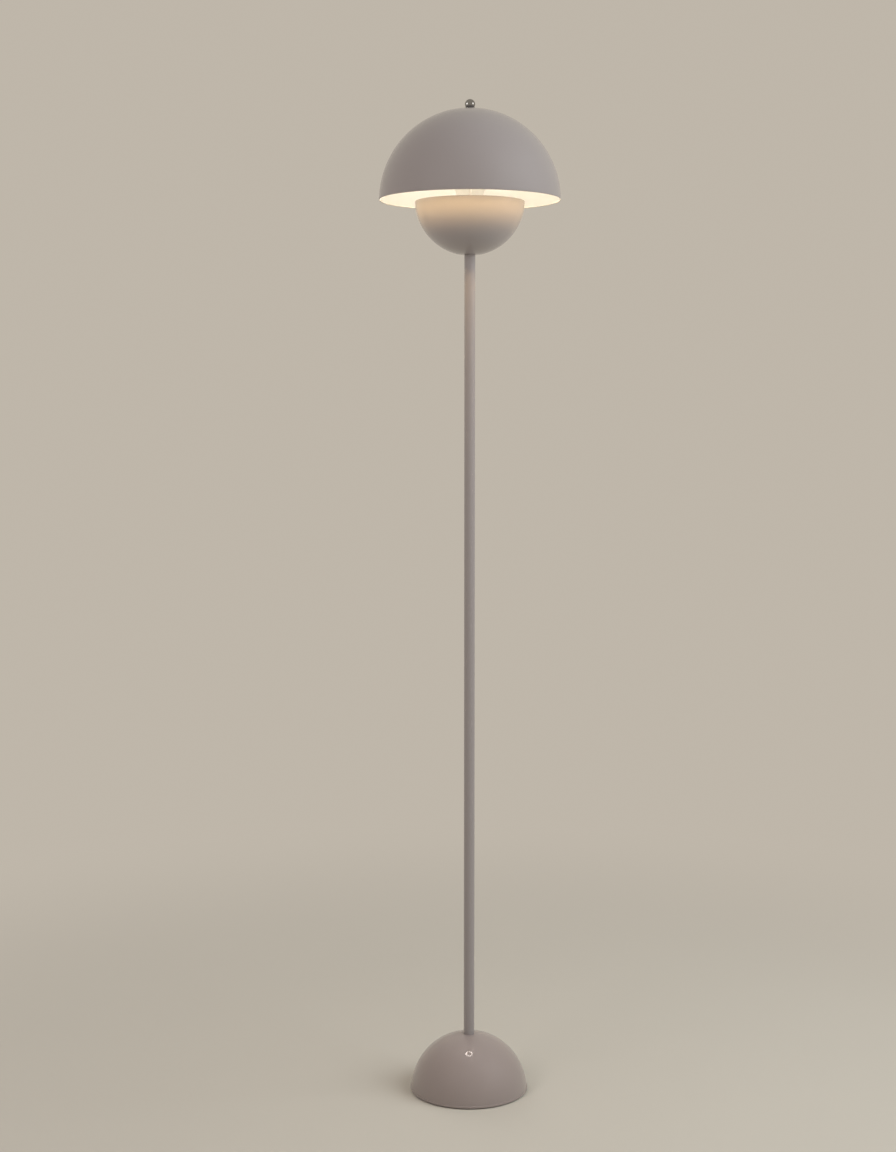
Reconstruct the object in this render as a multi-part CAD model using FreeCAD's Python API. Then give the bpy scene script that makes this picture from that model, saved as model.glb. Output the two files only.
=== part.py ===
import FreeCAD, Part
import math
import os

# Mushroom floor lamp: a bowl under a domed shade on one slim stem and a domed base.
# Millimetres. +Z up, the front faces -Y, the origin is the centre of the underside.

vector = FreeCAD.Vector
up = vector(0, 0, 1)

# ---- Driving dimensions: fits ----
thread_gap = 0.05           # radial, threads drawn as plain cylinders
fit_gap = 0.05              # radial, between pieces pressed or slid together
hole_gap = 0.3              # radial, clearance holes

# ---- Driving dimensions: base ----
base_radius = 76.5          # of the dome's sphere
base_height = 73.6          # floor to the flat that the stem stands on
base_flat = 10.0            # radius of that flat
base_wall = 1.2
base_rim_height = 1.2       # the dome's edge above the floor
hem_height = 3.0
hem_proud = 0.6
pad_thickness = 2.0
pad_inset = 2.5             # in from the edge of the bottom plate
plate_thickness = 1.5
plate_edge_gap = 0.4        # round the bottom plate, inside the dome
casting_gap = 1.5           # between the casting and the dome over it
pocket_draft = 2.0          # degrees on the walls of the casting's pocket
screw_count = 3
screw_radius = 2.0
screw_head_radius = 3.8
screw_length = 12.0
screw_socket = 2.5          # across the flats of the hexagon socket
screw_wall = 6.0            # casting left between pocket and screw
pocket_gap = 1.5            # round the terminal block, inside the pocket
block_length = 12.0         # terminal block, along the lead
block_width = 16.0
block_height = 14.0
block_poles = 2
block_screw_radius = 1.4
block_screw_head = 2.8      # radius
clamp_radius = 2.6          # brass barrels in the terminal block
clamp_screw_radius = 1.3
inlet_height = 11.0         # centre of the mains lead's way in, above the floor
inlet_bore = 3.1            # radius, for a 6 mm lead
grommet_neck = 4.8
grommet_flange = 6.5
grommet_face = 1.0          # thinnest part of the outer flange
grommet_inner_flange = 5.8
grommet_inner_lip = 1.6
grommet_tail = 3.0

# ---- Driving dimensions: stem and lead ----
stem_radius = 7.0
stem_wall = 1.2
stem_length = 1013.3        # base dome to bowl
plug_length = 18.0          # stem foot inside the tube
bush_length = 18.0          # threaded bush in the top of the tube
nipple_radius = 5.0         # M10 x 1
nipple_engagement = 12.0    # head nipple in the bush
lead_radius = 2.8
lead_gap = 0.4              # radial, lead in the hollow nipples
lead_bend = 22.0            # to the centre line
lead_run = 1.5              # straight before and after the bend
lead_rise = 7.0             # the lead's end above the bottom plate
lead_tail = 3.0             # past the head nipple

# ---- Driving dimensions: nuts and washers ----
nut_flats = 14.0
nut_height = 4.0
nipple_tail = 1.5           # nipple showing past its nut
flat_washer_thickness = 1.5
flat_washer_radius = 10.0
lock_washer_thickness = 2.0
lock_washer_radius = 8.4
lock_washer_slit = 1.2

# ---- Driving dimensions: bowl and harp ----
bowl_radius = 69.5
bowl_depth = 66.4
bowl_flat = 12.0            # radius of the flat that sits on the stem
bowl_wall = 1.2
bowl_washer_inset = 0.6
saddle_width = 14.0
saddle_thickness = 1.6
saddle_foot = 11.0          # half length of the saddle's level foot
saddle_clearance = 3.0      # over the bowl's inside
saddle_bend = 3.0           # bend radius at the strip's middle
ear_height = 11.0           # upright ends of the saddle
tongue_length = 5.0
tongue_width = 3.0
sleeve_length = 12.0
sleeve_wall = 1.5
harp_wire = 1.8             # radius
harp_clearance = 4.2        # wire to bulb
stud_radius = 3.0           # M6 x 1
stud_boss = 6.0
stud_boss_drop = 3.4        # below the wire's centre line
stud_shoulder = 8.0
stud_shoulder_height = 2.4

# ---- Driving dimensions: lampholder ----
holder_radius = 17.0
holder_height = 20.0
holder_wall = 2.0
holder_floor = 3.0
holder_entry = 8.0          # threaded entry on the head nipple
holder_entry_wall = 3.0
holder_thread_length = 10.0
holder_thread_depth = 1.2
insert_rise = 11.0          # insert above the cap's bottom
insert_height = 12.0
contact_height = 3.0
contact_width = 5.0
contact_length = 16.0
contact_thickness = 0.5
wire_hole_radius = 1.3      # through the insert, one for each wire
skirt_wall = 2.4
skirt_height = 39.0
skirt_lip = 2.5
grip_count = 30
grip_radius = 0.9           # of each half-round rib
grip_proud = 0.5
grip_inset = 1.5            # from the edges of the surface that carries the ribs
skirt_grip_height = 14.0
socket_depth = 22.0
socket_wall = 0.4

# ---- Driving dimensions: bulb, medium screw cap ----
bulb_radius = 30.0
bulb_length = 104.0
bulb_joint_drop = 18.0      # the diffuser's edge below the globe's centre
bulb_wall = 1.4
bulb_neck = 14.2
bulb_waist = 1.5            # how hollow the housing's flank is
bulb_cap_radius = 13.2
bulb_cap_wall = 0.4
bulb_cap_start = 6.0        # above the bulb's tip
bulb_cap_end = 27.0
spigot_length = 16.0        # the housing's neck inside the cap
tip_radius = 5.0
tip_height = 1.2
board_thickness = 1.6
led_count = 12
led_size = 2.8
led_height = 0.8
driver_thickness = 1.2
driver_gap = 2.0

# ---- Driving dimensions: shade and finial ----
shade_radius = 115.0
shade_height = 113.3
shade_flat = 9.0
shade_wall = 1.2
shade_rim_step = 1.5        # the shade's rim above the bowl's rim
shade_seat_thickness = 1.6
finial_radius = 6.5
finial_seat = 4.2
finial_washer_radius = 5.0
finial_washer_thickness = 0.6
finial_thread = 8.0         # stud inside the finial
finial_thread_end = 1.0     # hole left beyond the stud

# ---- Worked-out places, from the floor up ----
base_centre = base_height - math.sqrt(base_radius ** 2 - base_flat ** 2)
plate_bottom = pad_thickness
plate_top = plate_bottom + plate_thickness
lead_low = plate_top + lead_rise
foot_bottom = lead_low + lead_bend + lead_run
weight_nut_bottom = foot_bottom + nipple_tail
weight_nut_top = weight_nut_bottom + nut_height
lock_washer_top = weight_nut_top + lock_washer_thickness
pocket_ceiling = lock_washer_top + flat_washer_thickness
dome_ceiling = base_height - base_wall
stem_top = base_height + stem_length
bowl_floor = stem_top + bowl_wall
bowl_rim = stem_top + bowl_depth
bowl_centre = stem_top + math.sqrt(bowl_radius ** 2 - bowl_flat ** 2)
bowl_washer_top = bowl_floor + flat_washer_thickness
saddle_top = bowl_washer_top + saddle_thickness
head_washer_top = saddle_top + flat_washer_thickness
holder_bottom = head_washer_top + nut_height
head_nipple_top = holder_bottom + holder_entry
insert_bottom = holder_bottom + insert_rise
insert_top = insert_bottom + insert_height
bulb_tip = insert_top + contact_height
bulb_centre = bulb_tip + bulb_length - bulb_radius
bulb_joint = bulb_centre - bulb_joint_drop
shade_rim = bowl_rim + shade_rim_step
shade_top = shade_rim + shade_height
shade_centre = shade_top - math.sqrt(shade_radius ** 2 - shade_flat ** 2)
stud_seat = shade_top - shade_wall - shade_seat_thickness
harp_top = stud_seat - stud_shoulder_height - harp_wire
finial_bottom = shade_top + finial_washer_thickness
stud_top = finial_bottom + finial_thread

# ---- Worked-out radii ----
lead_hole = lead_radius + lead_gap
nut_thread = nipple_radius + thread_gap
nipple_hole = nipple_radius + hole_gap
block_start = lead_bend + lead_run
pocket_radius = math.hypot(block_start + block_length, block_width / 2) + pocket_gap
screw_circle = pocket_radius + screw_wall + screw_radius
socket_inner = bulb_cap_radius + fit_gap
socket_outer = socket_inner + socket_wall
holder_thread = holder_radius - holder_thread_depth
skirt_outer = holder_thread + fit_gap + skirt_wall
joint_radius = math.sqrt(bulb_radius ** 2 - bulb_joint_drop ** 2)
harp_half = bulb_radius + harp_clearance + harp_wire
sleeve_bore = harp_wire + fit_gap


# ---- Shapes used more than once ----
def at(radius, height):
    return vector(radius, 0, height)


def line(start, end):
    return Part.LineSegment(at(*start), at(*end)).toShape()


def arc(start, middle, end):
    return Part.Arc(at(*start), at(*middle), at(*end)).toShape()


def turned(edges):
    """Spin a closed profile in the XZ plane round the lamp's axis."""
    return Part.Face(Part.Wire(edges)).revolve(vector(0, 0, 0), up, 360)


def lathe(points):
    """Spin a straight-sided profile of (radius, height) points."""
    corners = points + points[:1]
    return turned([line(a, b) for a, b in zip(corners, corners[1:])])


def ring(outer, inner, bottom, top):
    return lathe([(inner, bottom), (outer, bottom), (outer, top), (inner, top)])


def disc(radius, bottom, top):
    return Part.makeCylinder(radius, top - bottom, at(0, bottom), up)


def hexagon(across_flats, bottom, top):
    corner = across_flats / math.sqrt(3)
    turns = [math.radians(60 * step) for step in range(7)]
    outline = [vector(corner * math.cos(a), corner * math.sin(a), bottom) for a in turns]
    return Part.Face(Part.makePolygon(outline)).extrude(vector(0, 0, top - bottom))


def block(low, high):
    size = high - low
    return Part.makeBox(size.x, size.y, size.z, low)


def around(shape, count, phase=0.0):
    """Copies of a shape at even turns round the lamp's axis."""
    copies = []
    for step in range(count):
        copy = shape.copy()
        copy.rotate(vector(0, 0, 0), up, phase + 360.0 * step / count)
        copies.append(copy)
    return copies


def sphere_radius(radius, centre, height):
    return math.sqrt(radius ** 2 - (height - centre) ** 2)


def on_sphere(radius, centre, slope):
    """The point of a sphere's profile at an angle above its centre."""
    return radius * math.cos(slope), centre + radius * math.sin(slope)


def sphere_arc(radius, centre, start, end):
    """The profile of a sphere between two heights."""
    slopes = [math.asin((height - centre) / radius) for height in (start, end)]
    points = [on_sphere(radius, centre, slope) for slope in (slopes[0], sum(slopes) / 2, slopes[1])]
    return arc(*points), points[0], points[2]


def spun_shell(radius, centre, wall, rim, pole, hole):
    """A spun dome or bowl: part of a sphere, a flat at the pole, a hole, a rounded edge."""
    inward = math.copysign(1.0, rim - pole)
    edge = rim - inward * wall / 2
    floor = pole + inward * wall
    outside, outer_edge, outer_pole = sphere_arc(radius, centre, edge, pole)
    inside, inner_pole, inner_edge = sphere_arc(radius - wall, centre, floor, edge)
    lip = ((outer_edge[0] + inner_edge[0]) / 2, rim)
    return turned([
        outside,
        line(outer_pole, (hole, pole)),
        line((hole, pole), (hole, floor)),
        line((hole, floor), inner_pole),
        inside,
        arc(inner_edge, lip, outer_edge),
    ])


def rounded_route(points, radius):
    """Straight runs joined by tangent arcs of one radius."""
    edges = []
    start = points[0]
    for before, corner, after in zip(points, points[1:], points[2:]):
        back = (before - corner).normalize()
        ahead = (after - corner).normalize()
        half_turn = (math.pi - back.getAngle(ahead)) / 2
        reach = radius * math.tan(half_turn)
        middle_way = (back + ahead).normalize()
        middle = corner + middle_way * (radius / math.cos(half_turn) - radius)
        arc_start = corner + back * reach
        arc_end = corner + ahead * reach
        edges.append(Part.LineSegment(start, arc_start).toShape())
        edges.append(Part.Arc(arc_start, middle, arc_end).toShape())
        start = arc_end
    edges.append(Part.LineSegment(start, points[-1]).toShape())
    return Part.Wire(edges)


def swept_tube(path, radius):
    """A round bar along a path that starts parallel to the lamp's axis."""
    start = path.OrderedVertexes[0].Point
    section = Part.Wire(Part.makeCircle(radius, start, up))
    return path.makePipeShell([section], True, True)


def across_x(width, thickness, middle):
    """A flat strip's section in a level plane, its width along X."""
    half = vector(width / 2, thickness / 2, 0)
    signs = ((-1, -1), (1, -1), (1, 1), (-1, 1), (-1, -1))
    return Part.makePolygon([middle + vector(x * half.x, y * half.y, 0) for x, y in signs])


def hollow_stud(radius, bottom, top):
    return ring(radius, lead_hole, bottom, top)


def hex_nut(bottom):
    return hexagon(nut_flats, bottom, bottom + nut_height).cut(disc(nut_thread, bottom, bottom + nut_height))


def flat_washer(bottom, radius):
    return ring(radius, nipple_hole, bottom, bottom + flat_washer_thickness)


# ---- Base ----
def inner_base_radius(height):
    return sphere_radius(base_radius - base_wall, base_centre, height)


def plate_radius():
    return inner_base_radius(plate_top) - plate_edge_gap


def base_foot_pad():
    inner = screw_circle + screw_head_radius + pad_inset
    return ring(plate_radius() - pad_inset, inner, 0, pad_thickness)


def countersunk(radius, head, bottom, length):
    """A countersunk screw's outline, head down, on the lamp's axis."""
    cone_top = bottom + head - radius
    return lathe([(0, bottom), (head, bottom), (radius, cone_top), (radius, bottom + length),
                  (0, bottom + length)])


def at_plate_screws(shape):
    shape.translate(vector(screw_circle, 0, 0))
    return around(shape, screw_count, 60.0)


def block_middle():
    return block_start + block_length / 2


def block_screw_outline(radius, head):
    shape = countersunk(radius, head, plate_bottom, plate_thickness + block_height / 2)
    shape.translate(vector(block_middle(), 0, 0))
    return shape


def base_bottom_plate():
    plate = disc(plate_radius(), plate_bottom, plate_top)
    sinks = at_plate_screws(countersunk(screw_radius + fit_gap, screw_head_radius + fit_gap,
                                        plate_bottom, screw_length))
    sinks.append(block_screw_outline(block_screw_radius + fit_gap, block_screw_head + fit_gap))
    return plate.cut(sinks)


def base_plate_screws():
    screw = countersunk(screw_radius, screw_head_radius, plate_bottom, screw_length)
    socket = hexagon(screw_socket, plate_bottom, plate_bottom + screw_head_radius - screw_radius)
    return Part.makeCompound(at_plate_screws(screw.cut(socket)))


def inlet_cylinder(radius, inner, outer):
    """A cylinder on the inlet's axis, which points to the back."""
    return Part.makeCylinder(radius, outer - inner, vector(0, inner, inlet_height), vector(0, 1, 0))


def base_weight():
    outside = base_radius - base_wall - casting_gap
    top = sphere_radius(outside, 0, base_flat - casting_gap) + base_centre
    skin, bottom_edge, top_edge = sphere_arc(outside, base_centre, plate_top, top)
    boss = base_flat - casting_gap
    body = turned([
        skin,
        line(top_edge, (boss, dome_ceiling)),
        line((boss, dome_ceiling), (nipple_hole, dome_ceiling)),
        line((nipple_hole, dome_ceiling), (nipple_hole, plate_top)),
        line((nipple_hole, plate_top), bottom_edge),
    ])
    drawn_in = (pocket_ceiling - plate_top) * math.tan(math.radians(pocket_draft))
    pocket = lathe([(0, plate_top), (pocket_radius + drawn_in, plate_top),
                    (pocket_radius, pocket_ceiling), (0, pocket_ceiling)])
    half_channel = grommet_inner_flange + casting_gap
    channel = block(vector(-half_channel, 0, plate_top),
                    vector(half_channel, base_radius, inlet_height + half_channel))
    holes = at_plate_screws(countersunk(screw_radius + thread_gap, screw_head_radius + fit_gap,
                                        plate_bottom, screw_length + hole_gap))
    return body.cut([pocket, channel] + holes)


def base_dome():
    shell = spun_shell(base_radius, base_centre, base_wall, base_rim_height, base_height, nipple_hole)
    edge_radius = sphere_radius(base_radius, base_centre, base_rim_height)
    proud = edge_radius + hem_proud
    shoulder = base_rim_height + hem_height - hem_proud
    top = base_rim_height + hem_height
    slant = hem_proud * (1 - math.sqrt(0.5))
    under = edge_radius - base_wall / 2
    hem = turned([
        line((under, base_rim_height), (edge_radius, base_rim_height)),
        arc((edge_radius, base_rim_height), (proud - slant, base_rim_height + slant),
            (proud, base_rim_height + hem_proud)),
        line((proud, base_rim_height + hem_proud), (proud, shoulder)),
        arc((proud, shoulder), (proud - slant, top - slant), (edge_radius, top)),
        line((edge_radius, top), (under, top)),
        line((under, top), (under, base_rim_height)),
    ])
    hole = inlet_cylinder(grommet_neck + fit_gap, 0, base_radius + hem_proud + hole_gap)
    return shell.fuse(hem).removeSplitter().cut(hole)


def cable_grommet():
    """A soft bush that grips the curved wall between its two flanges."""
    low_edge = max(base_centre, inlet_height - grommet_flange)
    face = sphere_radius(base_radius, base_centre, low_edge) + grommet_face
    inside = sphere_radius(base_radius - base_wall, base_centre, inlet_height) - grommet_inner_lip
    end = inside - grommet_tail
    outer_ball = Part.makeSphere(base_radius, at(0, base_centre))
    inner_ball = Part.makeSphere(base_radius - base_wall, at(0, base_centre))
    outer_flange = inlet_cylinder(grommet_flange, inside, face).cut(outer_ball)
    inner_flange = inlet_cylinder(grommet_inner_flange, inside, face).common(inner_ball)
    neck = inlet_cylinder(grommet_neck, end, face)
    bore = inlet_cylinder(inlet_bore, end, face)
    return neck.fuse([outer_flange, inner_flange]).removeSplitter().cut(bore)


def weight_washer():
    return flat_washer(lock_washer_top, flat_washer_radius)


def weight_lock_washer():
    washer = ring(lock_washer_radius, nipple_hole, weight_nut_top, lock_washer_top)
    slit = block(vector(0, -lock_washer_slit / 2, weight_nut_top),
                 vector(lock_washer_radius + hole_gap, lock_washer_slit / 2, lock_washer_top))
    return washer.cut(slit)


def weight_locknut():
    return hex_nut(weight_nut_bottom)


def pole_places():
    """Middles of the terminal block's poles, across the lead."""
    pitch = block_width / block_poles
    return [(index - (block_poles - 1) / 2) * pitch for index in range(block_poles)]


def pole_cylinder(radius, place, inset):
    start = vector(block_start + inset, place, lead_low)
    return Part.makeCylinder(radius, block_length - 2 * inset, start, vector(1, 0, 0))


def terminal_screw(place, radius):
    foot = vector(block_middle(), place, lead_low)
    return Part.makeCylinder(radius, plate_top + block_height - lead_low, foot, up)


def terminal_block():
    body = block(vector(block_start, -block_width / 2, plate_top),
                 vector(block_start + block_length, block_width / 2, plate_top + block_height))
    holes = [block_screw_outline(block_screw_radius + fit_gap, block_screw_head)]
    for place in pole_places():
        holes.append(pole_cylinder(clamp_radius + fit_gap, place, 0))
        holes.append(terminal_screw(place, clamp_screw_radius + hole_gap))
    return body.cut(holes)


def terminal_clamps():
    clamps = []
    for place in pole_places():
        barrel = pole_cylinder(clamp_radius, place, fit_gap)
        wire_hole = pole_cylinder(clamp_radius / 2, place, 0)
        screw = terminal_screw(place, clamp_screw_radius)
        clamps.append(barrel.fuse(screw).cut(wire_hole))
    return Part.makeCompound(clamps)


def terminal_block_screw():
    return block_screw_outline(block_screw_radius, block_screw_head)


# ---- Stem ----
def stem_tube():
    return ring(stem_radius, stem_radius - stem_wall, base_height, stem_top)


def stem_foot():
    plug = stem_radius - stem_wall - fit_gap
    return lathe([(lead_hole, foot_bottom), (nipple_radius, foot_bottom), (nipple_radius, base_height),
                  (plug, base_height), (plug, base_height + plug_length),
                  (lead_hole, base_height + plug_length)])


def stem_top_bush():
    plug = stem_radius - stem_wall - fit_gap
    thread_end = stem_top - nipple_engagement - nipple_tail
    return lathe([(lead_hole, stem_top - bush_length), (plug, stem_top - bush_length), (plug, stem_top),
                  (nut_thread, stem_top), (nut_thread, thread_end), (lead_hole, thread_end)])


def inner_lead():
    """The flex from the lampholder down the stem and round to the terminal block."""
    top = head_nipple_top + lead_tail
    points = [at(0, top), at(0, lead_low), at(block_start, lead_low)]
    path = rounded_route(points, lead_bend)
    lead = swept_tube(path, lead_radius)
    expected = math.pi * lead_radius ** 2 * path.Length
    print("inner_lead: bend radius %.1f, volume against section x length %.5f"
          % (lead_bend, lead.Volume / expected))
    return lead


# ---- Bowl and harp ----
def bowl():
    return spun_shell(bowl_radius, bowl_centre, bowl_wall, bowl_rim, stem_top, nipple_hole)


def bowl_washer_radius():
    floor_flat = sphere_radius(bowl_radius - bowl_wall, bowl_centre, bowl_floor)
    return floor_flat - bowl_washer_inset


def bowl_washer():
    return flat_washer(bowl_floor, bowl_washer_radius())


def head_nipple():
    return hollow_stud(nipple_radius, stem_top - nipple_engagement, head_nipple_top)


def head_washer():
    return flat_washer(saddle_top, flat_washer_radius)


def head_locknut():
    return hex_nut(head_washer_top)


def saddle_shoulder():
    """Height of the strip's outer bends, clear of the bowl's inside."""
    corner = math.hypot(harp_half, saddle_width / 2)
    return bowl_centre - sphere_radius(bowl_radius - bowl_wall, 0, corner) + saddle_clearance


def ear_top():
    return saddle_shoulder() + ear_height


def harp_saddle():
    """A strip bent to follow the bowl, with upright ends that take the harp."""
    middle = bowl_washer_top + saddle_thickness / 2
    shoulder = saddle_shoulder() + saddle_thickness / 2
    tip = ear_top() + tongue_length
    route = [vector(0, -harp_half, tip), vector(0, -harp_half, shoulder), vector(0, -saddle_foot, middle),
             vector(0, saddle_foot, middle), vector(0, harp_half, shoulder), vector(0, harp_half, tip)]
    path = rounded_route(route, saddle_bend)
    strip = path.makePipeShell([across_x(saddle_width, saddle_thickness, route[0])], True, True)
    cuts = [disc(nipple_hole, bowl_floor, head_washer_top)]
    for side in (-1, 1):
        for edge in (-1, 1):
            inner = tongue_width / 2
            low_x, high_x = sorted((edge * inner, edge * saddle_width))
            low_y, high_y = sorted((side * (harp_half - harp_clearance), side * (harp_half + harp_clearance)))
            cuts.append(block(vector(low_x, low_y, ear_top()), vector(high_x, high_y, tip + hole_gap)))
    return strip.cut(cuts)


def harp_path():
    """Two legs and a half circle over the bulb, in the YZ plane."""
    foot = ear_top() + tongue_length
    spring = harp_top - harp_half
    left = vector(0, -harp_half, spring)
    right = vector(0, harp_half, spring)
    return Part.Wire([
        Part.LineSegment(vector(0, -harp_half, foot), left).toShape(),
        Part.Arc(left, vector(0, 0, harp_top), right).toShape(),
        Part.LineSegment(right, vector(0, harp_half, foot)).toShape(),
    ])


def harp_loop():
    return swept_tube(harp_path(), harp_wire)


def harp_sleeves():
    """Ferrules over the joints between the saddle's tongues and the wire."""
    sleeve = ring(sleeve_bore + sleeve_wall, sleeve_bore, ear_top(), ear_top() + sleeve_length)
    sleeve.translate(vector(0, harp_half, 0))
    return Part.makeCompound(around(sleeve, 2))


def harp_stud():
    """A cast stud on the loop's crown, with the thread that carries the shade."""
    boss_bottom = harp_top - stud_boss_drop
    shoulder_bottom = stud_seat - stud_shoulder_height
    body = lathe([(0, boss_bottom), (stud_boss, boss_bottom), (stud_boss, shoulder_bottom),
                  (stud_shoulder, shoulder_bottom), (stud_shoulder, stud_seat),
                  (stud_radius, stud_seat), (stud_radius, stud_top), (0, stud_top)])
    return body.cut(swept_tube(harp_path(), sleeve_bore))


# ---- Lampholder ----
def grip_ribs(carrier, bottom, top):
    """Half-round ribs with domed ends, standing on a cylinder of the carrier's radius."""
    middle = carrier + grip_proud - grip_radius
    end = grip_radius * math.sqrt(0.5)
    rib = lathe([(0, bottom), (end, bottom), (grip_radius, bottom + end), (grip_radius, top - end),
                 (end, top), (0, top)])
    rib.translate(vector(middle, 0, 0))
    return around(rib, grip_count)


def lampholder_cap():
    """The lower cup, screwed on the nipple, with the skirt's thread at its top."""
    top = holder_bottom + holder_height
    thread_bottom = top - holder_thread_length
    inner = holder_thread - holder_wall
    entry = nut_thread + holder_entry_wall
    edge = holder_floor / 2
    nick = edge * (1 - math.sqrt(0.5))
    corner_start = (holder_radius - edge, holder_bottom)
    corner_end = (holder_radius, holder_bottom + edge)
    corners = [corner_end, (holder_radius, thread_bottom), (holder_thread, thread_bottom),
               (holder_thread, top), (inner, top), (inner, holder_bottom + holder_floor),
               (entry, holder_bottom + holder_floor), (entry, head_nipple_top),
               (nut_thread, head_nipple_top), (nut_thread, holder_bottom), corner_start]
    sides = [line(a, b) for a, b in zip(corners, corners[1:])]
    rounding = arc(corner_start, (holder_radius - nick, holder_bottom + nick), corner_end)
    ribs = grip_ribs(holder_radius, holder_bottom + edge, thread_bottom - grip_inset)
    return turned(sides + [rounding]).fuse(ribs)


def insert_radius():
    return holder_thread - holder_wall - fit_gap


def lampholder_insert():
    """The insulating core: hollow below for the wires, with the socket's seat on top."""
    wall = holder_wall
    outer = insert_radius()
    shell = lathe([(outer - wall, insert_bottom), (outer, insert_bottom), (outer, insert_top),
                   (0, insert_top), (0, insert_top - wall), (outer - wall, insert_top - wall)])
    wire_hole = disc(wire_hole_radius, insert_top - wall, insert_top)
    wire_hole.translate(vector(outer / 2, 0, 0))
    return shell.cut(around(wire_hole, 2, 90.0))


def lampholder_contact():
    """A springy tongue under the bulb's tip."""
    low = insert_top + contact_thickness / 2
    high = bulb_tip - contact_thickness / 2
    reach = contact_length / 2
    route = [vector(-reach, 0, low), vector(0, 0, low), vector(reach / 2, 0, high), vector(-reach / 2, 0, high)]
    path = Part.makePolygon(route)
    section = across_x(contact_thickness, contact_width, vector(0, 0, 0))
    section.rotate(vector(0, 0, 0), vector(0, 1, 0), 90)
    section.translate(route[0])
    return path.makePipeShell([section], True, True, 1)


def lampholder_thread():
    return ring(socket_outer, socket_inner, insert_top, insert_top + socket_depth)


def lampholder_skirt():
    """The upper sleeve, screwed over the cap, with a lip that holds the metal socket."""
    bottom = holder_bottom + holder_height - holder_thread_length
    top = bottom + skirt_height
    inner = holder_thread + fit_gap
    mouth = socket_outer + fit_gap
    edge = skirt_wall / 2
    nick = edge * (1 - math.sqrt(0.5))
    corner_start = (skirt_outer, top - edge)
    corner_end = (skirt_outer - edge, top)
    corners = [corner_end, (mouth, top), (mouth, top - skirt_lip), (inner, top - skirt_lip),
               (inner, bottom), (skirt_outer, bottom), corner_start]
    sides = [line(a, b) for a, b in zip(corners, corners[1:])]
    rounding = arc(corner_start, (skirt_outer - nick, top - nick), corner_end)
    ribs = grip_ribs(skirt_outer, bottom + grip_inset, bottom + skirt_grip_height)
    return turned(sides + [rounding]).fuse(ribs)


# ---- Bulb ----
def bulb_contact():
    top = bulb_tip + tip_height
    return lathe([(0, bulb_tip), (tip_radius - tip_height, bulb_tip), (tip_radius, top), (0, top)])


def bulb_insulator():
    bottom = bulb_tip + tip_height
    top = bulb_tip + bulb_cap_start
    rim = bulb_cap_radius - bulb_cap_wall
    return lathe([(0, bottom), (tip_radius, bottom), (rim, top), (0, top)])


def bulb_cap():
    return ring(bulb_cap_radius, bulb_cap_radius - bulb_cap_wall, bulb_tip + bulb_cap_start,
                bulb_tip + bulb_cap_end)


def flank(offset):
    """The housing's flank from neck to joint, drawn in by a wall."""
    neck_top = bulb_tip + bulb_cap_end
    low = (bulb_neck - offset, neck_top)
    high = (joint_radius - offset, bulb_joint)
    middle = ((low[0] + high[0]) / 2 - bulb_waist, (low[1] + high[1]) / 2)
    return low, middle, high


def bulb_housing():
    low, middle, high = flank(0)
    inner_low, inner_middle, inner_high = flank(bulb_wall)
    spigot = bulb_cap_radius - bulb_cap_wall - fit_gap
    spigot_inner = spigot - bulb_wall
    neck_top = low[1]
    spigot_bottom = neck_top - spigot_length
    return turned([
        arc(low, middle, high),
        line(high, inner_high),
        arc(inner_high, inner_middle, inner_low),
        line(inner_low, (spigot_inner, neck_top)),
        line((spigot_inner, neck_top), (spigot_inner, spigot_bottom)),
        line((spigot_inner, spigot_bottom), (spigot, spigot_bottom)),
        line((spigot, spigot_bottom), (spigot, neck_top)),
        line((spigot, neck_top), low),
    ])


def bulb_diffuser():
    inner_radius = bulb_radius - bulb_wall
    crown = math.pi / 2
    start = -math.asin(bulb_joint_drop / bulb_radius)
    inner_start = math.asin((bulb_joint - bulb_centre) / inner_radius)
    outer = [on_sphere(bulb_radius, bulb_centre, slope) for slope in (start, (start + crown) / 2, crown)]
    inner = [on_sphere(inner_radius, bulb_centre, slope)
             for slope in (crown, (inner_start + crown) / 2, inner_start)]
    outer[2] = (0, bulb_centre + bulb_radius)
    inner[0] = (0, bulb_centre + inner_radius)
    return turned([arc(*outer), line(outer[2], inner[0]), arc(*inner), line(inner[2], outer[0])])


def board_radius():
    """The flank closes in by less than the board's thickness over that thickness."""
    return joint_radius - bulb_wall - board_thickness


def bulb_led_board():
    return disc(board_radius(), bulb_joint - board_thickness, bulb_joint)


def bulb_leds():
    half = led_size / 2
    place = board_radius() * 2 / 3
    chip = block(vector(place - half, -half, bulb_joint), vector(place + half, half, bulb_joint + led_height))
    return Part.makeCompound(around(chip, led_count))


def bulb_driver():
    half = bulb_neck - bulb_wall - driver_gap
    return block(vector(-half, -driver_thickness / 2, bulb_tip + bulb_cap_end),
                 vector(half, driver_thickness / 2, bulb_joint - board_thickness))


# ---- Shade ----
def shade():
    return spun_shell(shade_radius, shade_centre, shade_wall, shade_rim, shade_top, stud_radius + hole_gap)


def shade_seat_washer():
    return ring(stud_shoulder, stud_radius + hole_gap, stud_seat, stud_seat + shade_seat_thickness)


def finial_washer():
    return ring(finial_washer_radius, stud_radius + hole_gap, shade_top, finial_bottom)


def finial():
    """A ball nut with a flat seat and a blind threaded hole."""
    drop = math.sqrt(finial_radius ** 2 - finial_seat ** 2)
    centre = finial_bottom + drop
    hole = stud_radius + thread_gap
    hole_top = stud_top + finial_thread_end
    start = -math.asin(drop / finial_radius)
    ball = [on_sphere(finial_radius, centre, slope) for slope in (start, (start + math.pi / 2) / 2)]
    crown = (0, centre + finial_radius)
    return turned([
        arc(ball[0], ball[1], crown),
        line(crown, (0, hole_top)),
        line((0, hole_top), (hole, hole_top)),
        line((hole, hole_top), (hole, finial_bottom)),
        line((hole, finial_bottom), ball[0]),
    ])


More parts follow.
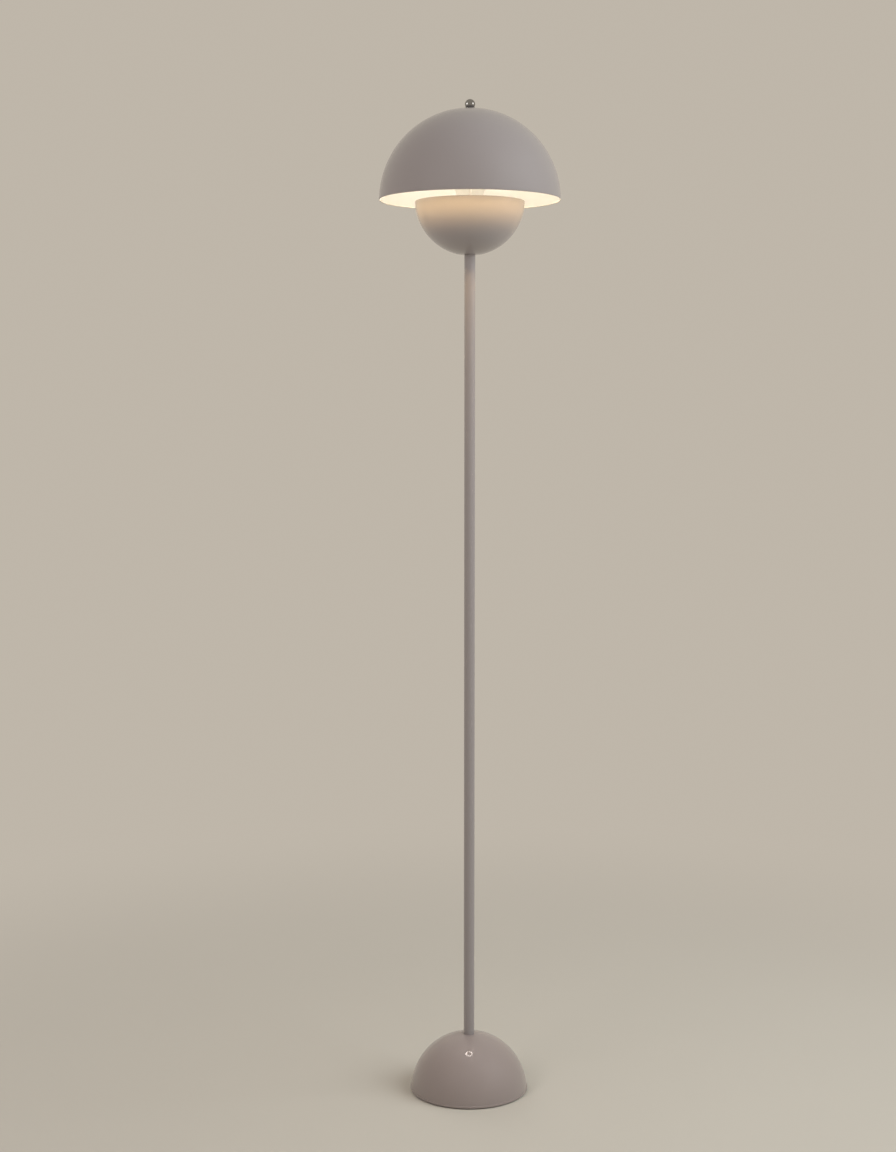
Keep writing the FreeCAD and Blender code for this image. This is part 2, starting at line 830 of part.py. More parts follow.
# ---- One file per piece ----
pieces = [
    base_foot_pad, base_bottom_plate, base_plate_screws, base_weight, base_dome, cable_grommet,
    weight_washer, weight_lock_washer, weight_locknut, terminal_block, terminal_clamps,
    terminal_block_screw, stem_tube, stem_foot, stem_top_bush, inner_lead, bowl, bowl_washer,
    head_nipple, head_washer, head_locknut, harp_saddle, harp_loop, harp_sleeves, harp_stud,
    lampholder_cap, lampholder_insert, lampholder_contact, lampholder_thread, lampholder_skirt,
    bulb_contact, bulb_insulator, bulb_cap, bulb_housing, bulb_diffuser, bulb_led_board, bulb_leds,
    bulb_driver, shade, shade_seat_washer, finial_washer, finial,
]

os.makedirs("parts", exist_ok=True)
for make in pieces:
    shape = make()
    print("%-22s solids %2d  volume %10.1f  valid %s"
          % (make.__name__, len(shape.Solids), shape.Volume, shape.isValid()))
    shape.exportStep("parts/%s.step" % make.__name__)
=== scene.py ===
import bpy, math
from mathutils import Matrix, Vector


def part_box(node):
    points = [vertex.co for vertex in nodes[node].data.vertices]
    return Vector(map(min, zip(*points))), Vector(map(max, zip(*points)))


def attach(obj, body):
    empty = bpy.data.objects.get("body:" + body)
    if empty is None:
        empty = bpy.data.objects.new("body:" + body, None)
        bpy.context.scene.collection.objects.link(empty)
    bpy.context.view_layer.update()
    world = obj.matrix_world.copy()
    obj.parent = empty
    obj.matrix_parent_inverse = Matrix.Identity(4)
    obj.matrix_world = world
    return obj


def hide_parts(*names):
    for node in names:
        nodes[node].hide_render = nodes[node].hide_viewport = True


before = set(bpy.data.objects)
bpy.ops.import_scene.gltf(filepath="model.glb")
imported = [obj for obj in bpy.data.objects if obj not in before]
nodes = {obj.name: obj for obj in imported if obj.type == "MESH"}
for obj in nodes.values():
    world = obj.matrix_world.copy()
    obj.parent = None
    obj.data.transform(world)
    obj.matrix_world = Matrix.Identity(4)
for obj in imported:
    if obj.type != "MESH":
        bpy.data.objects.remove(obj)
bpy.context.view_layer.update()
print("frame loaded:", len(nodes), "nodes")


# mesh helpers, all in metres round the lamp's axis

def arcPoints(height, radius, start, end, count):
    # a circle whose middle is on the axis at that height, angles from level
    turns = [start + (end - start) * i / (count - 1) for i in range(count)]
    return [(max(0.0, radius * math.cos(a)), height + radius * math.sin(a)) for a in turns]


def evenSteps(start, end, step):
    # points from start to end, both kept, no further apart than step
    count = max(1, math.ceil(math.dist(start, end) / step))
    return [(start[0] + (end[0] - start[0]) * i / count, start[1] + (end[1] - start[1]) * i / count)
            for i in range(count + 1)]


def softened(points, radius, steps=3, sharpest=25):
    # rounds each corner of a closed profile that turns by more than sharpest degrees
    result = []
    for i, point in enumerate(points):
        corner = Vector(point)
        toBefore = Vector(points[i - 1]) - corner
        toAfter = Vector(points[(i + 1) % len(points)]) - corner
        plain = point[0] < 1e-7 or toBefore.length < 1e-7 or toAfter.length < 1e-7
        turn = 0 if plain else math.pi - toBefore.angle(toAfter)
        if turn < math.radians(sharpest):
            result.append(point)
            continue
        reach = min(radius * math.tan(turn / 2), toBefore.length * 0.45, toAfter.length * 0.45)
        first = corner + toBefore.normalized() * reach
        last = corner + toAfter.normalized() * reach
        for step in range(steps + 1):
            t = step / steps
            spot = first * (1 - t) ** 2 + corner * 2 * t * (1 - t) + last * t ** 2
            result.append((spot.x, spot.y))
    return result


def latheMesh(profile, sides, inks, relief, aside=(0, 0), start=0):
    # a closed profile of (radius, height) turned round an upright line at aside
    rings, verts, faces, faceInks = [], [], [], []
    for radius, height in profile:
        count = 1 if radius < 1e-7 else sides
        rings.append([start + len(verts) + k for k in range(count)])
        for k in range(count):
            angle = 2 * math.pi * k / sides
            r = radius + (relief(angle, radius, height) if relief else 0)
            verts.append((aside[0] + r * math.cos(angle), aside[1] + r * math.sin(angle), height))
    for i, lower in enumerate(rings):
        upper = rings[(i + 1) % len(rings)]
        for k in range(sides):
            n = (k + 1) % sides
            corners = list(dict.fromkeys([lower[k % len(lower)], lower[n % len(lower)],
                                          upper[n % len(upper)], upper[k % len(upper)]]))
            if len(corners) > 2:
                faces.append(corners)
                faceInks.append(inks[i] if inks else 0)
    return verts, faces, faceInks


def meshPiece(name, verts, faces, inks=None, creaseDegrees=35):
    mesh = bpy.data.meshes.new(name)
    mesh.from_pydata(verts, [], faces)
    if inks:
        mesh.polygons.foreach_set("material_index", inks)
    mesh.polygons.foreach_set("use_smooth", [True] * len(mesh.polygons))
    mesh.update()
    mesh.set_sharp_from_angle(angle=math.radians(creaseDegrees))
    piece = bpy.data.objects.new(name, mesh)
    bpy.context.scene.collection.objects.link(piece)
    return piece


def lathe(name, profile, sides=96, inks=None, relief=None, creaseDegrees=35):
    return meshPiece(name, *latheMesh(profile, sides, inks, relief), creaseDegrees)


def placePiece(piece, body, slotName, replaced, *finishes):
    for name in finishes:
        piece.data.materials.append(finish[name])
    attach(piece, body)
    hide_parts(*replaced)
    return piece


def heights(node):
    low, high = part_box(node)
    return low.z, high.z


def halfWidth(node):
    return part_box(node)[1].x


# shader helpers

def newGroup(name, inputs, outputs):
    group = bpy.data.node_groups.new(name, "ShaderNodeTree")
    for label, kind, value in inputs:
        group.interface.new_socket(name=label, in_out="INPUT", socket_type=kind).default_value = value
    for label, kind in outputs:
        group.interface.new_socket(name=label, in_out="OUTPUT", socket_type=kind)
    return group, group.nodes.new("NodeGroupInput"), group.nodes.new("NodeGroupOutput")


def feed(tree, socket, value):
    # links a socket, or sets a plain value
    if isinstance(value, bpy.types.NodeSocket):
        tree.links.new(value, socket)
    elif value is not None:
        socket.default_value = value


def mathNode(tree, operation, first, second=None):
    node = tree.nodes.new("ShaderNodeMath")
    node.operation = operation
    feed(tree, node.inputs[0], first)
    feed(tree, node.inputs[1], second)
    return node.outputs[0]


def mixColour(tree, factor, first, second, blend="MIX"):
    node = tree.nodes.new("ShaderNodeMix")
    node.data_type = "RGBA"
    node.blend_type = blend
    feed(tree, node.inputs["Factor"], factor)
    feed(tree, node.inputs[6], first)
    feed(tree, node.inputs[7], second)
    return node.outputs[2]


def objectPlace(tree):
    return tree.nodes.new("ShaderNodeTexCoord").outputs["Object"]


def noiseAt(tree, place, scale, detail=2.0, roughness=0.5):
    noise = tree.nodes.new("ShaderNodeTexNoise")
    noise.inputs["Detail"].default_value = detail
    noise.inputs["Roughness"].default_value = roughness
    feed(tree, noise.inputs["Vector"], place)
    feed(tree, noise.inputs["Scale"], scale)
    return noise.outputs["Fac"]


def makeFineSurface():
    # cloudy tone, cloudy gloss and a fine grain, for paint, plastic, rubber and plating alike
    group, given, result = newGroup(
        "fineSurface",
        [("Colour", "NodeSocketColor", (0.5, 0.5, 0.5, 1)), ("Tone Spread", "NodeSocketFloat", 0.05),
         ("Roughness", "NodeSocketFloat", 0.4), ("Gloss Spread", "NodeSocketFloat", 0.05),
         ("Cloud Scale", "NodeSocketFloat", 12.0), ("Grain Scale", "NodeSocketFloat", 900.0)],
        [("Colour", "NodeSocketColor"), ("Roughness", "NodeSocketFloat"), ("Grain", "NodeSocketFloat")])
    place = objectPlace(group)
    cloud = mathNode(group, "SUBTRACT", noiseAt(group, place, given.outputs["Cloud Scale"], 4.0, 0.55), 0.5)
    tone = mathNode(group, "ADD", mathNode(group, "MULTIPLY", cloud, given.outputs["Tone Spread"]), 1.0)
    grey = group.nodes.new("ShaderNodeCombineColor")
    for channel in grey.inputs:
        group.links.new(tone, channel)
    colour = mixColour(group, 1.0, given.outputs["Colour"], grey.outputs[0], "MULTIPLY")
    gloss = mathNode(group, "MULTIPLY", cloud, given.outputs["Gloss Spread"])
    feed(group, result.inputs["Colour"], colour)
    feed(group, result.inputs["Roughness"], mathNode(group, "ADD", given.outputs["Roughness"], gloss))
    feed(group, result.inputs["Grain"], noiseAt(group, place, given.outputs["Grain Scale"]))
    return group


def makeSettledDust():
    # thin dust on faces that look up, broken into patches
    group, given, result = newGroup(
        "settledDust", [("Amount", "NodeSocketFloat", 0.1), ("Patch Scale", "NodeSocketFloat", 30.0)],
        [("Mask", "NodeSocketFloat")])
    facing = group.nodes.new("ShaderNodeSeparateXYZ")
    feed(group, facing.inputs[0], group.nodes.new("ShaderNodeNewGeometry").outputs["Normal"])
    upward = mathNode(group, "POWER", mathNode(group, "MAXIMUM", facing.outputs["Z"], 0.0), 3.0)
    patches = noiseAt(group, objectPlace(group), given.outputs["Patch Scale"], 5.0, 0.6)
    mask = mathNode(group, "MULTIPLY", mathNode(group, "MULTIPLY", upward, patches), given.outputs["Amount"])
    feed(group, result.inputs["Mask"], mask)
    return group


def makeTurnedRings():
    # the fine rings that a lathe or a spinning tool leaves round the axis
    group, given, result = newGroup(
        "turnedRings", [("Ring Scale", "NodeSocketFloat", 1500.0)], [("Ring", "NodeSocketFloat")])
    parts = group.nodes.new("ShaderNodeSeparateXYZ")
    feed(group, parts.inputs[0], objectPlace(group))
    across = mathNode(group, "ADD", mathNode(group, "POWER", parts.outputs["X"], 2.0),
                      mathNode(group, "POWER", parts.outputs["Y"], 2.0))
    place = group.nodes.new("ShaderNodeCombineXYZ")
    feed(group, place.inputs["X"], mathNode(group, "SQRT", across))
    feed(group, place.inputs["Z"], parts.outputs["Z"])
    ring = noiseAt(group, place.outputs[0], given.outputs["Ring Scale"], 3.0, 0.7)
    feed(group, result.inputs["Ring"], ring)
    return group


wearLook = {"breakScale": 700.0, "gain": 8.0, "samples": 4}


def makeEdgeWear():
    # where an edge is rounded by use: the normal over a small reach differs from the face's own
    group, given, result = newGroup(
        "edgeWear", [("Width", "NodeSocketFloat", 0.0004), ("Amount", "NodeSocketFloat", 0.5)],
        [("Mask", "NodeSocketFloat"), ("Normal", "NodeSocketVector")])
    rounded = group.nodes.new("ShaderNodeBevel")
    rounded.samples = wearLook["samples"]
    feed(group, rounded.inputs["Radius"], given.outputs["Width"])
    meeting = group.nodes.new("ShaderNodeVectorMath")
    meeting.operation = "DOT_PRODUCT"
    feed(group, meeting.inputs[0], rounded.outputs[0])
    feed(group, meeting.inputs[1], group.nodes.new("ShaderNodeNewGeometry").outputs["Normal"])
    turnedAway = mathNode(group, "SUBTRACT", 1.0, meeting.outputs["Value"])
    breaks = noiseAt(group, objectPlace(group), wearLook["breakScale"], 3.0, 0.6)
    amount = mathNode(group, "MULTIPLY", given.outputs["Amount"], wearLook["gain"])
    mask = mathNode(group, "MULTIPLY", mathNode(group, "MULTIPLY", turnedAway, breaks), amount)
    feed(group, result.inputs["Mask"], mathNode(group, "MINIMUM", mask, 1.0))
    feed(group, result.inputs["Normal"], rounded.outputs[0])
    return group


fineSurface = makeFineSurface()
settledDust = makeSettledDust()
turnedRings = makeTurnedRings()
edgeWear = makeEdgeWear()


def useGroup(tree, group, **values):
    node = tree.nodes.new("ShaderNodeGroup")
    node.node_tree = group
    for label, value in values.items():
        node.inputs[label.replace("_", " ")].default_value = value
    return node


def newMaterial(name):
    material = bpy.data.materials.new(name)
    material.use_nodes = True
    tree = material.node_tree
    tree.nodes.clear()
    shader = tree.nodes.new("ShaderNodeBsdfPrincipled")
    output = tree.nodes.new("ShaderNodeOutputMaterial")
    tree.links.new(shader.outputs[0], output.inputs["Surface"])
    return material, tree, shader, output


dustColour = (0.62, 0.58, 0.52)


def makeFinish(name, look):
    material, tree, shader, _ = newMaterial(name)
    surface = useGroup(tree, fineSurface, Colour=(*look["colour"], 1), Roughness=look["roughness"],
                       Tone_Spread=look.get("toneSpread", 0.05), Gloss_Spread=look.get("glossSpread", 0.06),
                       Cloud_Scale=look.get("cloudScale", 14.0), Grain_Scale=look.get("grainScale", 900.0))
    colour, grain, normal = surface.outputs["Colour"], surface.outputs["Grain"], None
    if "wornEdge" in look:
        wear = useGroup(tree, edgeWear, Width=look["edgeWidth"], Amount=look.get("wear", 0.4))
        colour = mixColour(tree, wear.outputs["Mask"], colour, (*look["wornEdge"], 1))
        normal = wear.outputs["Normal"]
    if "dust" in look:
        dust = useGroup(tree, settledDust, Amount=look["dust"])
        colour = mixColour(tree, dust.outputs["Mask"], colour, (*dustColour, 1))
    if "rings" in look:
        rings = useGroup(tree, turnedRings, Ring_Scale=look.get("ringScale", 1500.0))
        grain = mathNode(tree, "ADD", grain, mathNode(tree, "MULTIPLY", rings.outputs["Ring"], look["rings"]))
    feed(tree, shader.inputs["Base Color"], colour)
    feed(tree, shader.inputs["Roughness"], surface.outputs["Roughness"])
    bump = tree.nodes.new("ShaderNodeBump")
    bump.inputs["Strength"].default_value = look.get("bump", 0.05)
    bump.inputs["Distance"].default_value = look.get("bumpDepth", 0.0001)
    feed(tree, bump.inputs["Height"], grain)
    feed(tree, bump.inputs["Normal"], normal)
    feed(tree, shader.inputs["Normal"], bump.outputs[0])
    shader.inputs["Metallic"].default_value = look.get("metallic", 0.0)
    shader.inputs["Specular IOR Level"].default_value = look.get("specular", 0.5)
    shader.inputs["Coat Weight"].default_value = look.get("coat", 0.0)
    shader.inputs["Coat Roughness"].default_value = look.get("coatRoughness", 0.1)
    return material


looks = {
    "lacquer": {"colour": (0.300, 0.271, 0.271), "roughness": 0.42, "toneSpread": 0.03, "glossSpread": 0.05,
                "cloudScale": 9.0, "grainScale": 420.0, "bump": 0.05, "dust": 0.04, "coat": 1.0,
                "coatRoughness": 0.05},
    # the base's copy of the same lacquer, warmer than the shade's, with a little more dust and a glossier
    # coat
    "baseLacquer": {"colour": (0.302, 0.252, 0.240), "roughness": 0.42, "toneSpread": 0.04,
                    "glossSpread": 0.05, "cloudScale": 11.0, "grainScale": 420.0, "bump": 0.05, "dust": 0.06,
                    "coat": 1.0, "coatRoughness": 0.042},
    "enamel": {"colour": (0.86, 0.84, 0.80), "roughness": 0.38, "toneSpread": 0.02, "grainScale": 800.0,
               "bump": 0.05},
    "wirePaint": {"colour": (0.84, 0.82, 0.78), "roughness": 0.34, "toneSpread": 0.02, "grainScale": 900.0,
                  "bump": 0.06, "wornEdge": (0.40, 0.39, 0.37), "edgeWidth": 0.0003, "wear": 0.3},
    "zinc": {"colour": (0.56, 0.57, 0.58), "roughness": 0.33, "metallic": 1.0, "toneSpread": 0.18,
             "glossSpread": 0.2, "cloudScale": 60.0, "grainScale": 1500.0, "bump": 0.08,
             "wornEdge": (0.72, 0.72, 0.71), "edgeWidth": 0.0003, "wear": 0.6},
    "nickel": {"colour": (0.66, 0.62, 0.56), "roughness": 0.2, "metallic": 1.0, "toneSpread": 0.06,
               "cloudScale": 50.0, "bump": 0.04, "rings": 0.6, "wornEdge": (0.74, 0.70, 0.64),
               "edgeWidth": 0.0002, "wear": 0.4},
    # painted dark reflection: this chrome's colour is set darker than bright plating, so the ball shows dark
    # between the lamps' highlights
    "chrome": {"colour": (0.33, 0.325, 0.32), "roughness": 0.06, "metallic": 1.0, "toneSpread": 0.03,
               "glossSpread": 0.03, "cloudScale": 80.0, "bump": 0.01, "rings": 0.5},
    "brass": {"colour": (0.72, 0.52, 0.24), "roughness": 0.26, "metallic": 1.0, "toneSpread": 0.12,
              "cloudScale": 90.0, "bump": 0.05, "wornEdge": (0.80, 0.62, 0.34), "edgeWidth": 0.0002},
    "iron": {"colour": (0.115, 0.115, 0.12), "roughness": 0.7, "metallic": 0.6, "toneSpread": 0.5,
             "cloudScale": 120.0, "grainScale": 500.0, "bump": 0.5, "bumpDepth": 0.0006},
    "foam": {"colour": (0.032, 0.031, 0.030), "roughness": 0.92, "toneSpread": 0.4, "cloudScale": 400.0,
             "grainScale": 1600.0, "bump": 0.6, "bumpDepth": 0.0003, "specular": 0.25},
    "bush": {"colour": (0.19, 0.165, 0.150), "roughness": 0.62, "toneSpread": 0.1, "grainScale": 1200.0,
             "bump": 0.2, "specular": 0.4, "dust": 0.1},
    "holderPlastic": {"colour": (0.80, 0.79, 0.75), "roughness": 0.3, "toneSpread": 0.02,
                      "grainScale": 1400.0, "bump": 0.06, "wornEdge": (0.70, 0.69, 0.66),
                      "edgeWidth": 0.0003, "wear": 0.2},
    "nylon": {"colour": (0.76, 0.75, 0.70), "roughness": 0.5, "toneSpread": 0.04, "bump": 0.08},
    "bulbPlastic": {"colour": (0.88, 0.88, 0.85), "roughness": 0.42, "toneSpread": 0.02,
                    "grainScale": 1800.0, "bump": 0.05},
    "flexSheath": {"colour": (0.78, 0.77, 0.74), "roughness": 0.48, "toneSpread": 0.03, "bump": 0.05},
    "blackGlass": {"colour": (0.02, 0.02, 0.022), "roughness": 0.15, "toneSpread": 0.1, "bump": 0.02},
    "ledBoard": {"colour": (0.80, 0.80, 0.78), "roughness": 0.4, "toneSpread": 0.02, "bump": 0.03},
    "phosphor": {"colour": (0.85, 0.62, 0.12), "roughness": 0.35, "toneSpread": 0.05, "bump": 0.03},
    "circuit": {"colour": (0.03, 0.16, 0.07), "roughness": 0.35, "toneSpread": 0.1, "bump": 0.05},
    "silicone": {"colour": (0.74, 0.73, 0.70), "roughness": 0.35, "toneSpread": 0.03, "bump": 0.03},
}
finish = {name: makeFinish(name, look) for name, look in looks.items()}

# the lit bulb
glow = {"colour": (1.0, 0.89, 0.755), "strength": 9.2, "rimShare": 0.72, "plastic": (0.90, 0.88, 0.83),
        "toneSpread": 0.06, "roughness": 0.35, "grainScale": 1800.0, "bump": 0.05, "bumpDepth": 0.0001}


def makeOpal():
    # milky plastic over the lamps inside, brighter towards the crown than at the joint
    material, tree, shader, _ = newMaterial("opal")
    surface = useGroup(tree, fineSurface, Colour=(*glow["plastic"], 1), Tone_Spread=glow["toneSpread"],
                       Roughness=glow["roughness"], Grain_Scale=glow["grainScale"])
    low, high = heights("bulb_diffuser")
    parts = tree.nodes.new("ShaderNodeSeparateXYZ")
    feed(tree, parts.inputs[0], objectPlace(tree))
    climb = tree.nodes.new("ShaderNodeMapRange")
    for label, value in (("From Min", low), ("From Max", high), ("To Min", glow["rimShare"]),
                         ("Value", parts.outputs["Z"])):
        feed(tree, climb.inputs[label], value)
    tone = tree.nodes.new("ShaderNodeCombineColor")
    for channel in tone.inputs:
        feed(tree, channel, climb.outputs[0])
    lit = mixColour(tree, 1.0, (*glow["colour"], 1), tone.outputs[0], "MULTIPLY")
    feed(tree, shader.inputs["Emission Color"], lit)
    shader.inputs["Emission Strength"].default_value = glow["strength"]
    feed(tree, shader.inputs["Base Color"], surface.outputs["Colour"])
    feed(tree, shader.inputs["Roughness"], surface.outputs["Roughness"])
    bump = tree.nodes.new("ShaderNodeBump")
    bump.inputs["Strength"].default_value = glow["bump"]
    bump.inputs["Distance"].default_value = glow["bumpDepth"]
    feed(tree, bump.inputs["Height"], surface.outputs["Grain"])
    feed(tree, shader.inputs["Normal"], bump.outputs[0])
    return material


finish["opal"] = makeOpal()
print("materials made:", len(finish))


# the spun shells

def sphereShell(box, look, poleUp):
    # part of a sphere with a small flat and hole at its pole and a rounded edge
    low, high = box
    pole, rim = (high.z, low.z) if poleUp else (low.z, high.z)
    inward = -1 if poleUp else 1
    radius, wall = look["radius"], look["wall"]
    centre = pole + inward * math.sqrt(radius ** 2 - look["flat"] ** 2)
    edge = rim - inward * wall / 2
    floor = pole + inward * wall
    inner = radius - wall

    def slope(r, height):
        return math.asin(max(-1, min(1, (height - centre) / r)))

    outside = arcPoints(centre, radius, slope(radius, edge), slope(radius, pole), look["rings"])
    hole = [(look["hole"], pole), (look["hole"], floor)]
    inside = arcPoints(centre, inner, slope(inner, floor), slope(inner, edge), look["rings"])
    middle = (outside[0][0] + inside[-1][0]) / 2
    lip = [(middle + wall / 2 * math.cos(a), edge + inward * wall / 2 * math.sin(a))
           for a in [math.pi * (1 - k / look["lipSteps"]) for k in range(1, look["lipSteps"])]]
    inks = [0] * (len(outside) + 1) + [1] * (len(inside) + 1) + [0] * len(lip)
    return outside + hole + inside + lip, inks


shadeLook = {"radius": 0.115, "flat": 0.009, "wall": 0.0012, "hole": 0.0033, "rings": 64, "lipSteps": 6,
             "sides": 224}


def makeShade():
    profile, inks = sphereShell(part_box("shade"), shadeLook, True)
    piece = lathe("shadeShell", profile, shadeLook["sides"], inks)
    placePiece(piece, "shade", "shade_lacquer", ["shade"], "lacquer", "enamel")


bowlLook = {"radius": 0.0695, "flat": 0.012, "wall": 0.0012, "hole": 0.0053, "rings": 56, "lipSteps": 6,
            "sides": 192}


def makeBowl():
    profile, inks = sphereShell(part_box("bowl"), bowlLook, False)
    piece = lathe("bowlShell", profile, bowlLook["sides"], inks)
    placePiece(piece, "stand", "bowl_lacquer", ["bowl"], "lacquer", "enamel")


# the threads, knurls and small turned pieces

screwLook = {"pitch": 0.003629, "capDepth": 0.00035, "socketDepth": 0.0003, "step": 0.00025, "sides": 96,
             "capWall": 0.0004, "socketWall": 0.0004}


def screwShare(angle, height, pitch):
    # 1 on a right-hand thread's crest and 0 in its root
    return 0.5 + 0.5 * math.cos(2 * math.pi * (height / pitch - angle / (2 * math.pi)))


def shareBetween(height, low, high):
    return max(0.0, min(1.0, (height - low) / (high - low)))


def makeBulbCap():
    # rolled thread on the outside, drawn in at the tip and plain at the neck
    low, high = heights("bulb_cap")
    radius, pitch = halfWidth("bulb_cap"), screwLook["pitch"]
    bore = radius - screwLook["capWall"]

    def rolled(angle, r, height):
        if r < radius - 1e-5:
            return 0
        crest = shareBetween(height, low, low + pitch) * screwShare(angle, height, pitch)
        neck = shareBetween(height, high - 2 * pitch, high - pitch)
        return -screwLook["capDepth"] * (1 - crest) * (1 - neck)

    profile = evenSteps((radius, low), (radius, high), screwLook["step"]) + [(bore, high), (bore, low)]
    piece = lathe("bulbCapShell", profile, screwLook["sides"], None, rolled, 60)
    placePiece(piece, "bulb", "nickel", ["bulb_cap"], "nickel")


def makeSocketShell():
    # the same thread inside the lampholder, opening out at both ends
    low, high = heights("lampholder_thread")
    radius, pitch = halfWidth("lampholder_thread"), screwLook["pitch"]
    bore = radius - screwLook["socketWall"]

    def rolled(angle, r, height):
        if r > bore + 1e-5:
            return 0
        fade = shareBetween(height, low, low + pitch) * (1 - shareBetween(height, high - pitch, high))
        return -screwLook["socketDepth"] * fade * (1 - screwShare(angle, height, pitch))

    profile = evenSteps((bore, high), (bore, low), screwLook["step"]) + [(radius, low), (radius, high)]
    piece = lathe("socketShell", profile, screwLook["sides"], None, rolled, 60)
    placePiece(piece, "stand", "nickel", ["lampholder_thread"], "nickel")


studLook = {"boss": 0.006, "shoulder": 0.008, "shoulderHeight": 0.0024, "stud": 0.003, "pitch": 0.001,
            "depth": 0.0005, "lead": 0.0006, "plainFoot": 0.002, "seatDrop": 0.0114, "edge": 0.0006,
            "sides": 64, "step": 0.00012}


def makeHarpStud():
    # cast boss on the wire, a shoulder for the shade and a cut thread above it
    low, top = heights("harp_stud")
    seat = top - studLook["seatDrop"]
    boss, shoulder, stud = studLook["boss"], studLook["shoulder"], studLook["stud"]
    under, pitch = seat - studLook["shoulderHeight"], studLook["pitch"]
    cast = softened([(0, low), (boss, low), (boss, under), (shoulder, under), (shoulder, seat), (stud, seat)],
                    studLook["edge"])
    end = top - studLook["lead"]
    threaded = evenSteps((stud, seat + studLook["plainFoot"]), (stud, end), studLook["step"])

    def cut(angle, r, height):
        if height < seat + studLook["plainFoot"] or abs(r - stud) > 1e-5:
            return 0
        begun = shareBetween(height, seat + studLook["plainFoot"], seat + studLook["plainFoot"] + pitch)
        return -studLook["depth"] * begun * (1 - screwShare(angle, height, pitch))

    crown = [(stud - studLook["lead"], top), (0, top)]
    piece = lathe("studBody", cast + threaded + crown, studLook["sides"], None, cut, 50)
    placePiece(piece, "stand", "nickel", ["harp_stud"], "nickel")


sleeveLook = {"radius": 0.00335, "bore": 0.00185, "ridges": 28, "depth": 0.00016, "plainEnd": 0.0015,
              "edge": 0.0004, "sides": 168, "step": 0.0003}


def makeHarpSleeves():
    # a straight knurl between plain ends, on both ferrules in one piece
    low, high = heights("harp_sleeves")
    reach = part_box("harp_sleeves")[1].y - sleeveLook["radius"]
    radius, bore, edge = sleeveLook["radius"], sleeveLook["bore"], sleeveLook["edge"]

    def knurled(angle, r, height):
        inset = min(height - low, high - height)
        if r < radius - 1e-6 or inset < sleeveLook["plainEnd"]:
            return 0
        return -sleeveLook["depth"] * (0.5 + 0.5 * math.cos(sleeveLook["ridges"] * angle))

    outside = evenSteps((radius, low + edge), (radius, high - edge), sleeveLook["step"])
    profile = [(bore, low), (radius - edge, low)] + outside + [(radius - edge, high), (bore, high)]
    verts, faces = [], []
    for side in (-1, 1):
        more = latheMesh(profile, sleeveLook["sides"], None, knurled, (0, side * reach), len(verts))
        verts += more[0]
        faces += more[1]
    piece = meshPiece("ferrulePair", verts, faces, None, 30)
    placePiece(piece, "stand", "nickel", ["harp_sleeves"], "nickel")


finialLook = {"radius": 0.0065, "seat": 0.0042, "bore": 0.00305, "boreDepth": 0.009, "boreLead": 0.0006,
              "boreTop": 0.0005, "step": 0.0002, "rings": 72, "sides": 128}


def makeFinial():
    # a plated ball with a small flat seat and a blind threaded hole
    low, high = heights("finial")
    radius, seat, bore = finialLook["radius"], finialLook["seat"], finialLook["bore"]
    centre = high - radius
    start = -math.acos(seat / radius)
    lead = finialLook["boreLead"]
    profile = arcPoints(centre, radius, start, math.pi / 2, finialLook["rings"])
    roof = low + finialLook["boreDepth"]
    profile += [(0, roof), (bore, roof)]
    profile += evenSteps((bore, roof - finialLook["boreTop"]), (bore, low + lead), finialLook["step"])
    profile += [(bore + lead, low)]
    piece = lathe("finialBall", profile, finialLook["sides"])
    placePiece(piece, "finial", "chrome", ["finial"], "chrome")


def makeTurnedPieces():
    makeBulbCap()
    makeSocketShell()
    makeHarpStud()
    makeHarpSleeves()
    makeFinial()
    print("threads, knurls and finial made")


makeShade()
makeBowl()
print("shells made")
makeTurnedPieces()


# finishes on the pieces that stay as they are

keptFinishes = {
    "base_foot_pad": "foam", "base_bottom_plate": "zinc", "base_plate_screws": "zinc",
    "base_weight": "iron", "base_dome": "baseLacquer", "cable_grommet": "bush",
    "weight_washer": "zinc", "weight_lock_washer": "zinc", "weight_locknut": "zinc",
    "terminal_block": "nylon", "terminal_clamps": "brass", "terminal_block_screw": "zinc",
    "stem_tube": "lacquer", "stem_foot": "zinc", "stem_top_bush": "zinc", "inner_lead": "flexSheath",
    "bowl_washer": "zinc", "head_nipple": "zinc", "head_washer": "zinc", "head_locknut": "zinc",
    "harp_saddle": "wirePaint", "harp_loop": "wirePaint",
    "lampholder_cap": "holderPlastic", "lampholder_insert": "nylon", "lampholder_contact": "brass",
    "lampholder_skirt": "holderPlastic",
    "bulb_contact": "zinc", "bulb_insulator": "blackGlass", "bulb_housing": "bulbPlastic",
    "bulb_diffuser": "opal", "bulb_led_board": "ledBoard", "bulb_leds": "phosphor",
    "bulb_driver": "circuit",
    "shade_seat_washer": "silicone", "finial_washer": "silicone",
}


def dressKeptPieces():
    for node, finishName in keptFinishes.items():
        mesh = nodes[node].data
        if not mesh.materials:
            mesh.materials.append(finish[finishName])
        for index in range(len(mesh.materials)):
            mesh.materials[index] = finish[finishName]
    print("kept pieces dressed:", len(keptFinishes))


dressKeptPieces()


# floor, light and camera

stageLook = {"colour": (0.605, 0.570, 0.505), "toneSpread": 0.05, "roughness": 0.85, "cloudScale": 2.0,
             "grainScale": 300.0, "radius": 14.0, "sides": 96, "underFoot": 0.003, "fadeStart": 0.35,
             "fadeEnd": 1.5,
             "backColour": (0.52, 0.47, 0.40), "worldColour": (1.0, 0.93, 0.83), "worldStrength": 0.25}


